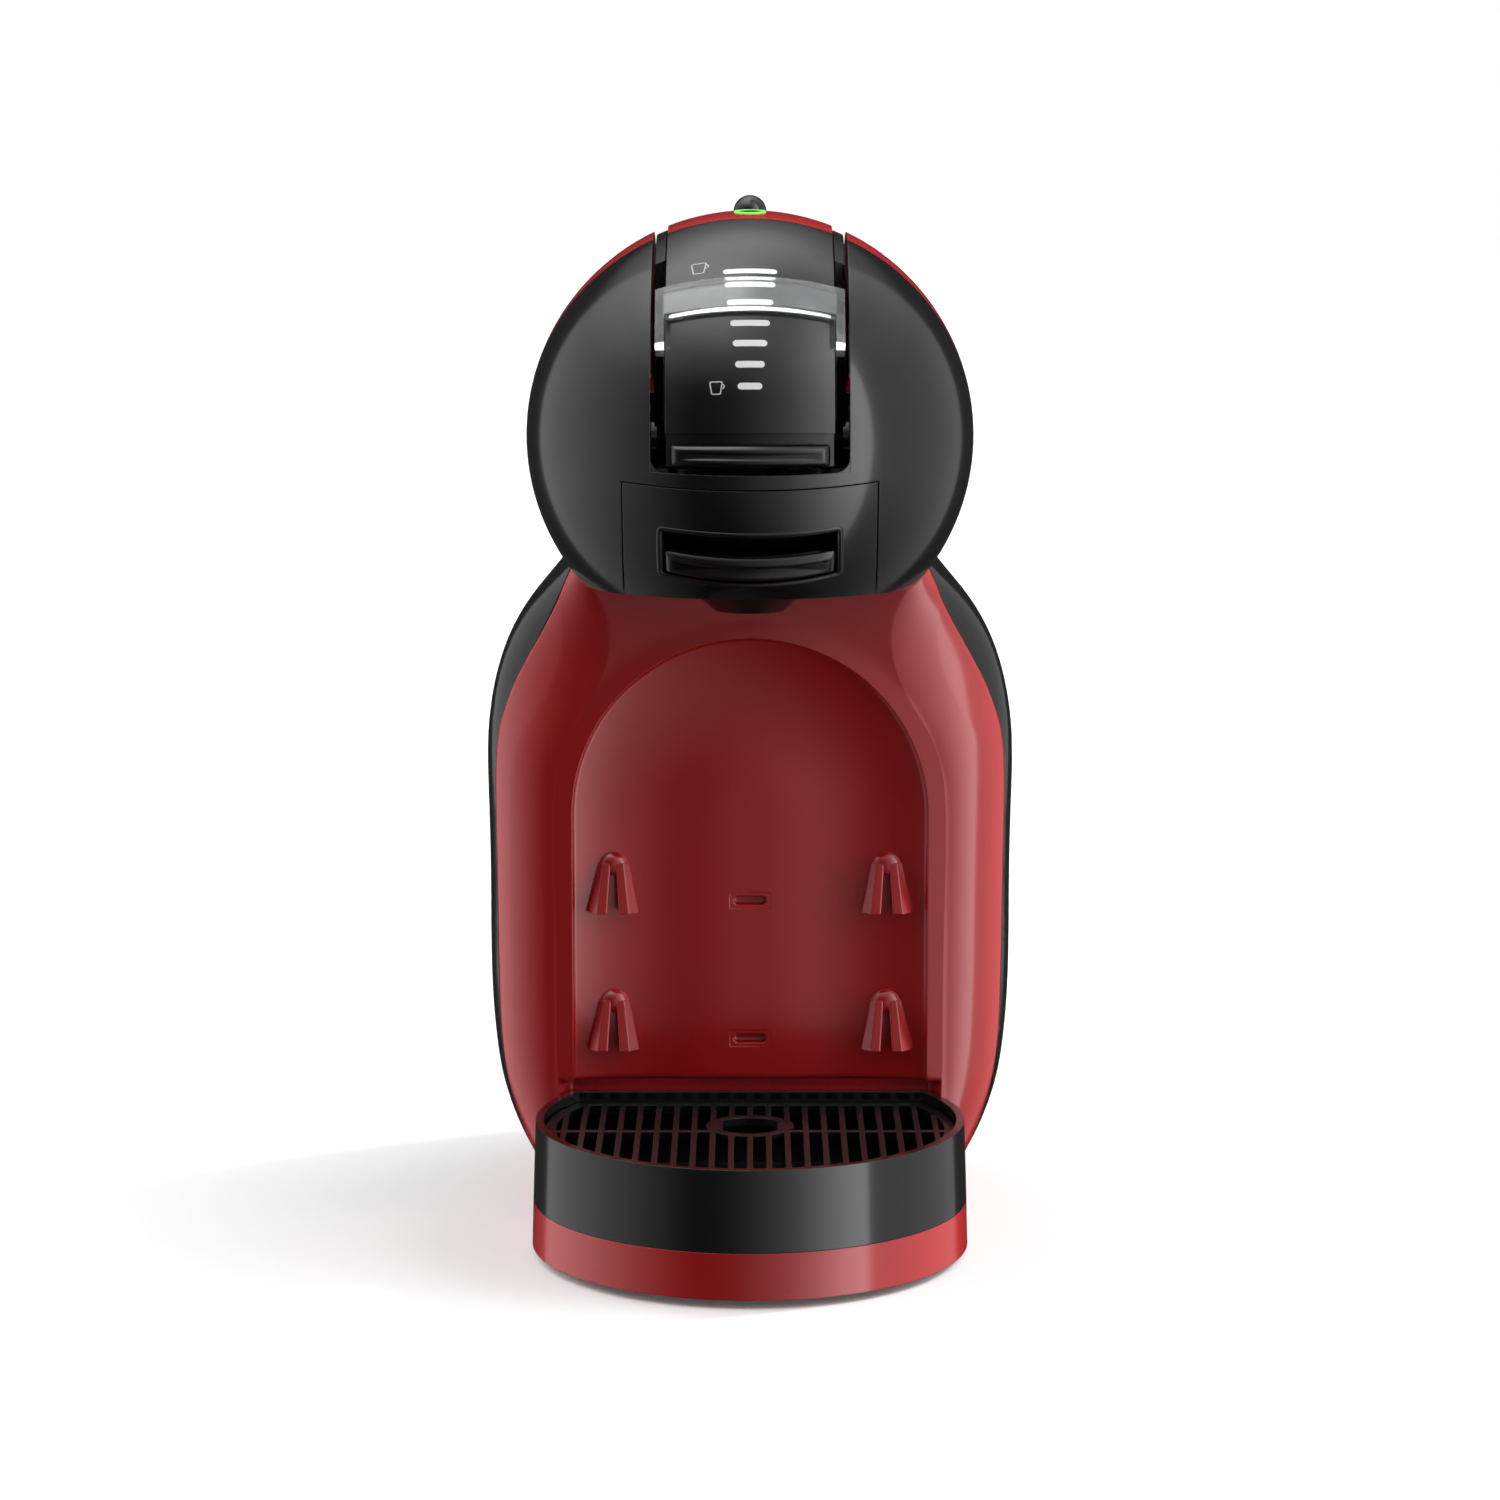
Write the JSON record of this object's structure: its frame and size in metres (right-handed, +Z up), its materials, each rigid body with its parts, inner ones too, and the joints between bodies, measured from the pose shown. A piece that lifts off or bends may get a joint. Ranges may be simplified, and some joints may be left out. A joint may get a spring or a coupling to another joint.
{
  "type": "pod coffee machine",
  "caption": "Compact pod coffee machine: round head with a locking arm and a capsule drawer, egg-shaped body, round drip tray and a tank at the back.",
  "frame": {"origin": "on the table, under the middle of the machine's overall box", "axes": "+Z up, -Y towards the user, +X to the user's right"},
  "size_m": [0.1604, 0.2425, 0.3096],
  "materials": {
    "red_gloss": "glossy moulded ABS",
    "black_gloss": "glossy moulded ABS",
    "black_satin": "satin moulded plastic",
    "clear_plastic": "clear polycarbonate",
    "smoked_plastic": "smoked clear plastic",
    "light_window": "frosted light window",
    "ring_window": "frosted light window",
    "rubber_black": "moulded rubber",
    "silicone": "translucent silicone",
    "steel": "zinc-plated or stainless steel",
    "cast_alloy": "cast aluminium",
    "inner_plastic": "glass-filled nylon",
    "white_plastic": "natural nylon",
    "board_green": "coated circuit board",
    "part_plastic": "electronic parts"
  },
  "bodies": {
    "housing": {"arm_axles": "steel", "base_frame": "red_gloss", "base_plate": "black_satin", "base_screws": "steel", "board_components": "part_plastic", "brew_frame": "inner_plastic", "channel_floor": "black_satin", "cold_hose": "silicone", "control_board": "board_green", "cord_gland": "rubber_black", "drawer_rails": "inner_plastic", "face_cover": "black_gloss", "flow_meter": "white_plastic", "front_body_shell": "red_gloss", "head_helmet": "red_gloss", "head_underside": "black_satin", "heater_block": "cast_alloy", "heater_element": "steel", "heater_inlet_pipe": "silicone", "hot_pipe": "silicone", "injector_guide": "inner_plastic", "inner_chassis": "inner_plastic", "pump_body": "white_plastic", "pump_brackets": "steel", "pump_coil": "part_plastic", "pump_mounts": "rubber_black", "rear_body_shell": "black_gloss", "rubber_feet": "rubber_black", "selector_valve": "white_plastic", "shell_screws": "steel", "suction_hoses": "silicone", "tank_dock": "inner_plastic", "thermostat": "steel"},
    "arm": {"arm_frame": "black_satin", "arm_cap": "red_gloss", "display_panel": "black_gloss", "volume_light_bars": "light_window", "led_board": "board_green", "handle_grip": "black_gloss", "button_guide": "inner_plastic", "button_light_ring": "ring_window", "lever_pin": "steel", "lever_bracket": "inner_plastic"},
    "slider": {"volume_slider": "clear_plastic"},
    "button": {"power_button": "black_satin"},
    "lever": {"hot_cold_lever": "black_gloss"},
    "injector": {"injector_plate": "white_plastic", "injector_needle": "steel", "injector_seal": "silicone"},
    "drawer": {"drawer_front": "black_gloss", "drawer_grip": "black_gloss", "capsule_carrier": "black_satin", "outlet_nozzle": "black_satin"},
    "tray": {"drip_tray": "black_gloss"},
    "grid": {"drip_grid": "black_satin"},
    "tank": {"water_tank": "smoked_plastic", "tank_filter": "white_plastic"},
    "lid": {"tank_lid": "black_gloss"},
    "valve": {"tank_valve_plunger": "white_plastic"},
    "piston": {"pump_piston": "steel"}
  },
  "joints": [
    {"name": "locking_handle", "type": "hinge", "parent": "housing", "child": "arm", "pos_m": [0, -0.042, 0.24], "axis": [-1, 0, 0], "range_deg": [0, 52]},
    {"name": "volume_selector", "type": "hinge", "parent": "arm", "child": "slider", "pos_m": [0, -0.042, 0.24], "axis": [-1, 0, 0], "range_deg": [-24, 8.5]},
    {"name": "power_button_press", "type": "slide", "parent": "arm", "child": "button", "axis": [0, 0.0958, -0.9954], "range_m": [0, 0.001], "stiffness_N_per_m": 400},
    {"name": "hot_cold_selector", "type": "hinge", "parent": "arm", "child": "lever", "pos_m": [0, -0.03769, 0.29483], "axis": [0, 1, 0], "range_deg": [-18, 18]},
    {"name": "injector_lift", "type": "slide", "parent": "housing", "child": "injector", "axis": [0, 0, 1], "range_m": [0, 0.006]},
    {"name": "capsule_drawer", "type": "slide", "parent": "housing", "child": "drawer", "axis": [0, -1, 0], "range_m": [0, 0.072]},
    {"name": "drip_tray_out", "type": "slide", "parent": "housing", "child": "tray", "axis": [0, -1, 0], "range_m": [0, 0.13]},
    {"name": "drip_grid_lift", "type": "slide", "parent": "tray", "child": "grid", "axis": [0, 0, 1], "range_m": [0, 0.0065]},
    {"name": "water_tank_lift", "type": "slide", "parent": "housing", "child": "tank", "axis": [0, 0, 1], "range_m": [0, 0.19]},
    {"name": "tank_lid_lift", "type": "slide", "parent": "tank", "child": "lid", "axis": [0, 0, 1], "range_m": [0, 0.05]},
    {"name": "tank_valve", "type": "slide", "parent": "tank", "child": "valve", "axis": [0, 0, 1], "range_m": [0, 0.003], "stiffness_N_per_m": 150},
    {"name": "pump_stroke", "type": "slide", "parent": "housing", "child": "piston", "axis": [0, 0, 1], "range_m": [0, 0.005], "stiffness_N_per_m": 1500}
  ],
  "couplings": [
    {"joint": "injector_lift", "follows": "locking_handle", "m_per_rad": 0.0065}
  ]
}
